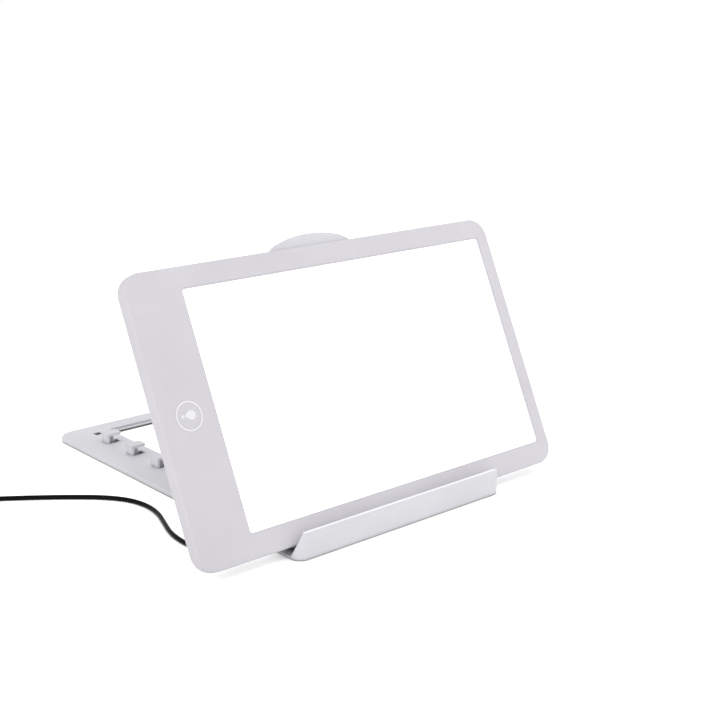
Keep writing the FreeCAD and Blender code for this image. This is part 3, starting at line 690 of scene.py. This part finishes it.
def key_print():
    """The key's print: ring, bulb and cap in white, fainter rays, and a shade round the ring."""
    white = [
        flat_patch(circle(RING_R + RING_LINE / 2), PRINT_W, circle(RING_R - RING_LINE / 2)),
        flat_patch(bulb_outline(), PRINT_W),
        flat_patch(circle(CAP_R, (CAP_X, CAP_V), 32), PRINT_W),
    ]
    rays = [flat_patch(ray(degrees), PRINT_W) for degrees in RAY_ANGLES]
    shade = [flat_patch(circle(RING_R + RING_LINE), SHADE_W, circle(RING_R - RING_LINE))]
    points = []
    faces = []
    inks = []
    for ink, patches in enumerate((white, rays, shade)):
        for patch_points, patch_faces in patches:
            base = len(points)
            points.extend(patch_points)
            faces += [[base + i for i in face] for face in patch_faces]
            inks += [ink] * len(patch_faces)
    piece = surface("key_print", points, faces, print_white, smooth=False)
    piece.data.materials.append(print_faint)
    piece.data.materials.append(print_shade)
    piece.data.polygons.foreach_set("material_index", inks)
    return piece


mark = key_print()
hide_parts("touch_mark")
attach(mark, "panel")


def screw_recess_shade_bars():
    """The cross recesses: two dark bars over each other on each case screw, painted shade standing
    in for the recesses' depth.
    """
    points = []
    faces = []
    for x in SCREW_XS:
        for v in SCREW_VS:
            for wide, high in ((CROSS_HALF_L, CROSS_HALF_W), (CROSS_HALF_W, CROSS_HALF_L)):
                base = len(points)
                for dx, dv in ((-wide, -high), (-wide, high), (wide, high), (wide, -high)):
                    points.append(on_panel(x + dx, v + dv, CROSS_W))
                faces.append((base, base + 1, base + 2, base + 3))
    return surface("screw_recess_painted_shade", points, faces, recess_painted_shade, smooth=False)


crosses = screw_recess_shade_bars()
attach(crosses, "panel")


# Floor, light and camera


def shows_backdrop(tree):
    """One for camera, glossy and transmission rays, which see the white backdrop, else nought."""
    rays = tree.nodes.new("ShaderNodeLightPath")
    kind = rays.outputs["Is Camera Ray"]
    for other in ("Is Glossy Ray", "Is Transmission Ray"):
        either = tree.nodes.new("ShaderNodeMath")
        either.operation = "MAXIMUM"
        tree.links.new(kind, either.inputs[0])
        tree.links.new(rays.outputs[other], either.inputs[1])
        kind = either.outputs["Value"]
    return kind


def floor_white():
    """Matt white that stays white to the camera, with a soft contact shadow at what stands on it,
    partly painted.

    To the rays that show the backdrop the floor glows as well; its strength falls to nought where
    little around the point is open, which paints shadow over the real shadow of the diffuse part.
    """
    material, tree, out = new_material("floor_white")
    diffuse = tree.nodes.new("ShaderNodeBsdfDiffuse")
    greys = ((0.80, 0.80, 0.80, 1.0), (0.82, 0.82, 0.82, 1.0))
    tree.links.new(ramp(tree, noise(tree, 3.0), 0.2, 0.8, greys), diffuse.inputs["Color"])
    shown = tree.nodes.new("ShaderNodeMath")
    shown.operation = "MULTIPLY"
    # Painted shadow: the glow fades where little around the point is open.
    lift = spread(tree, openness(tree, CONTACT_REACH, 16), 0.0, 0.75, 0.2, 0.8)
    tree.links.new(lift, shown.inputs[0])
    tree.links.new(shows_backdrop(tree), shown.inputs[1])
    glow = tree.nodes.new("ShaderNodeEmission")
    tree.links.new(shown.outputs["Value"], glow.inputs["Strength"])
    both = tree.nodes.new("ShaderNodeAddShader")
    tree.links.new(diffuse.outputs["BSDF"], both.inputs[0])
    tree.links.new(glow.outputs["Emission"], both.inputs[1])
    tree.links.new(both.outputs["Shader"], out.inputs["Surface"])
    return material


def white_room():
    """A white world: full white to the rays that show the backdrop, a little less as light."""
    world = bpy.data.worlds.new("white_room")
    world.use_nodes = True
    tree = world.node_tree
    tree.nodes.clear()
    out = tree.nodes.new("ShaderNodeOutputWorld")
    background = tree.nodes.new("ShaderNodeBackground")
    background.inputs["Color"].default_value = (1.0, 1.0, 1.0, 1.0)
    level = spread(tree, shows_backdrop(tree), 0.93, 1.0, 0.0, 1.0)
    tree.links.new(level, background.inputs["Strength"])
    tree.links.new(background.outputs["Background"], out.inputs["Surface"])
    return world


def area_light(name, place, target, size, watts):
    """A square soft white light that points at a target."""
    data = bpy.data.lights.new(name, "AREA")
    data.energy = watts
    data.size = size
    lamp = bpy.data.objects.new(name, data)
    lamp.matrix_world = facing(place, np.subtract(place, target))
    bpy.context.scene.collection.objects.link(lamp)


def photo_camera():
    """The camera at the photograph's place, from its azimuth, elevation and roll."""
    data = bpy.data.cameras.new("camera")
    data.lens = CAMERA_LENS
    data.sensor_width = CAMERA_SENSOR
    data.shift_y = CAMERA_SHIFT_Y
    data.clip_start = 0.05
    data.clip_end = 50.0
    back = (
        math.sin(CAMERA_AZIMUTH) * math.cos(CAMERA_ELEVATION),
        -math.cos(CAMERA_AZIMUTH) * math.cos(CAMERA_ELEVATION),
        math.sin(CAMERA_ELEVATION),
    )
    camera = bpy.data.objects.new("camera", data)
    camera.matrix_world = facing(CAMERA_PLACE, back, CAMERA_ROLL)
    bpy.context.scene.collection.objects.link(camera)
    return camera


floor_corners = [(-1, -1, 0), (1, -1, 0), (1, 1, 0), (-1, 1, 0)]
floor = surface(
    "floor", FLOOR_HALF * np.array(floor_corners), [(0, 1, 2, 3)], floor_white(), smooth=False
)

area_light("front_light", (-2.2, -0.8, 0.4), (0.0, 0.0, 0.05), 1.5, 11.5)
area_light("side_light", (-1.6, 0.3, 0.25), (-0.15, 0.0, 0.05), 0.8, 0.8)
area_light("right_light", (0.7, -0.5, 0.8), (0.1, 0.0, 0.1), 0.6, 1.6)
area_light("fill_light", (-0.5, -1.7, 1.2), (0.0, 0.0, 0.05), 1.2, 2.6)

scene = bpy.context.scene
scene.world = white_room()
scene.camera = photo_camera()
scene.view_settings.view_transform = "Standard"
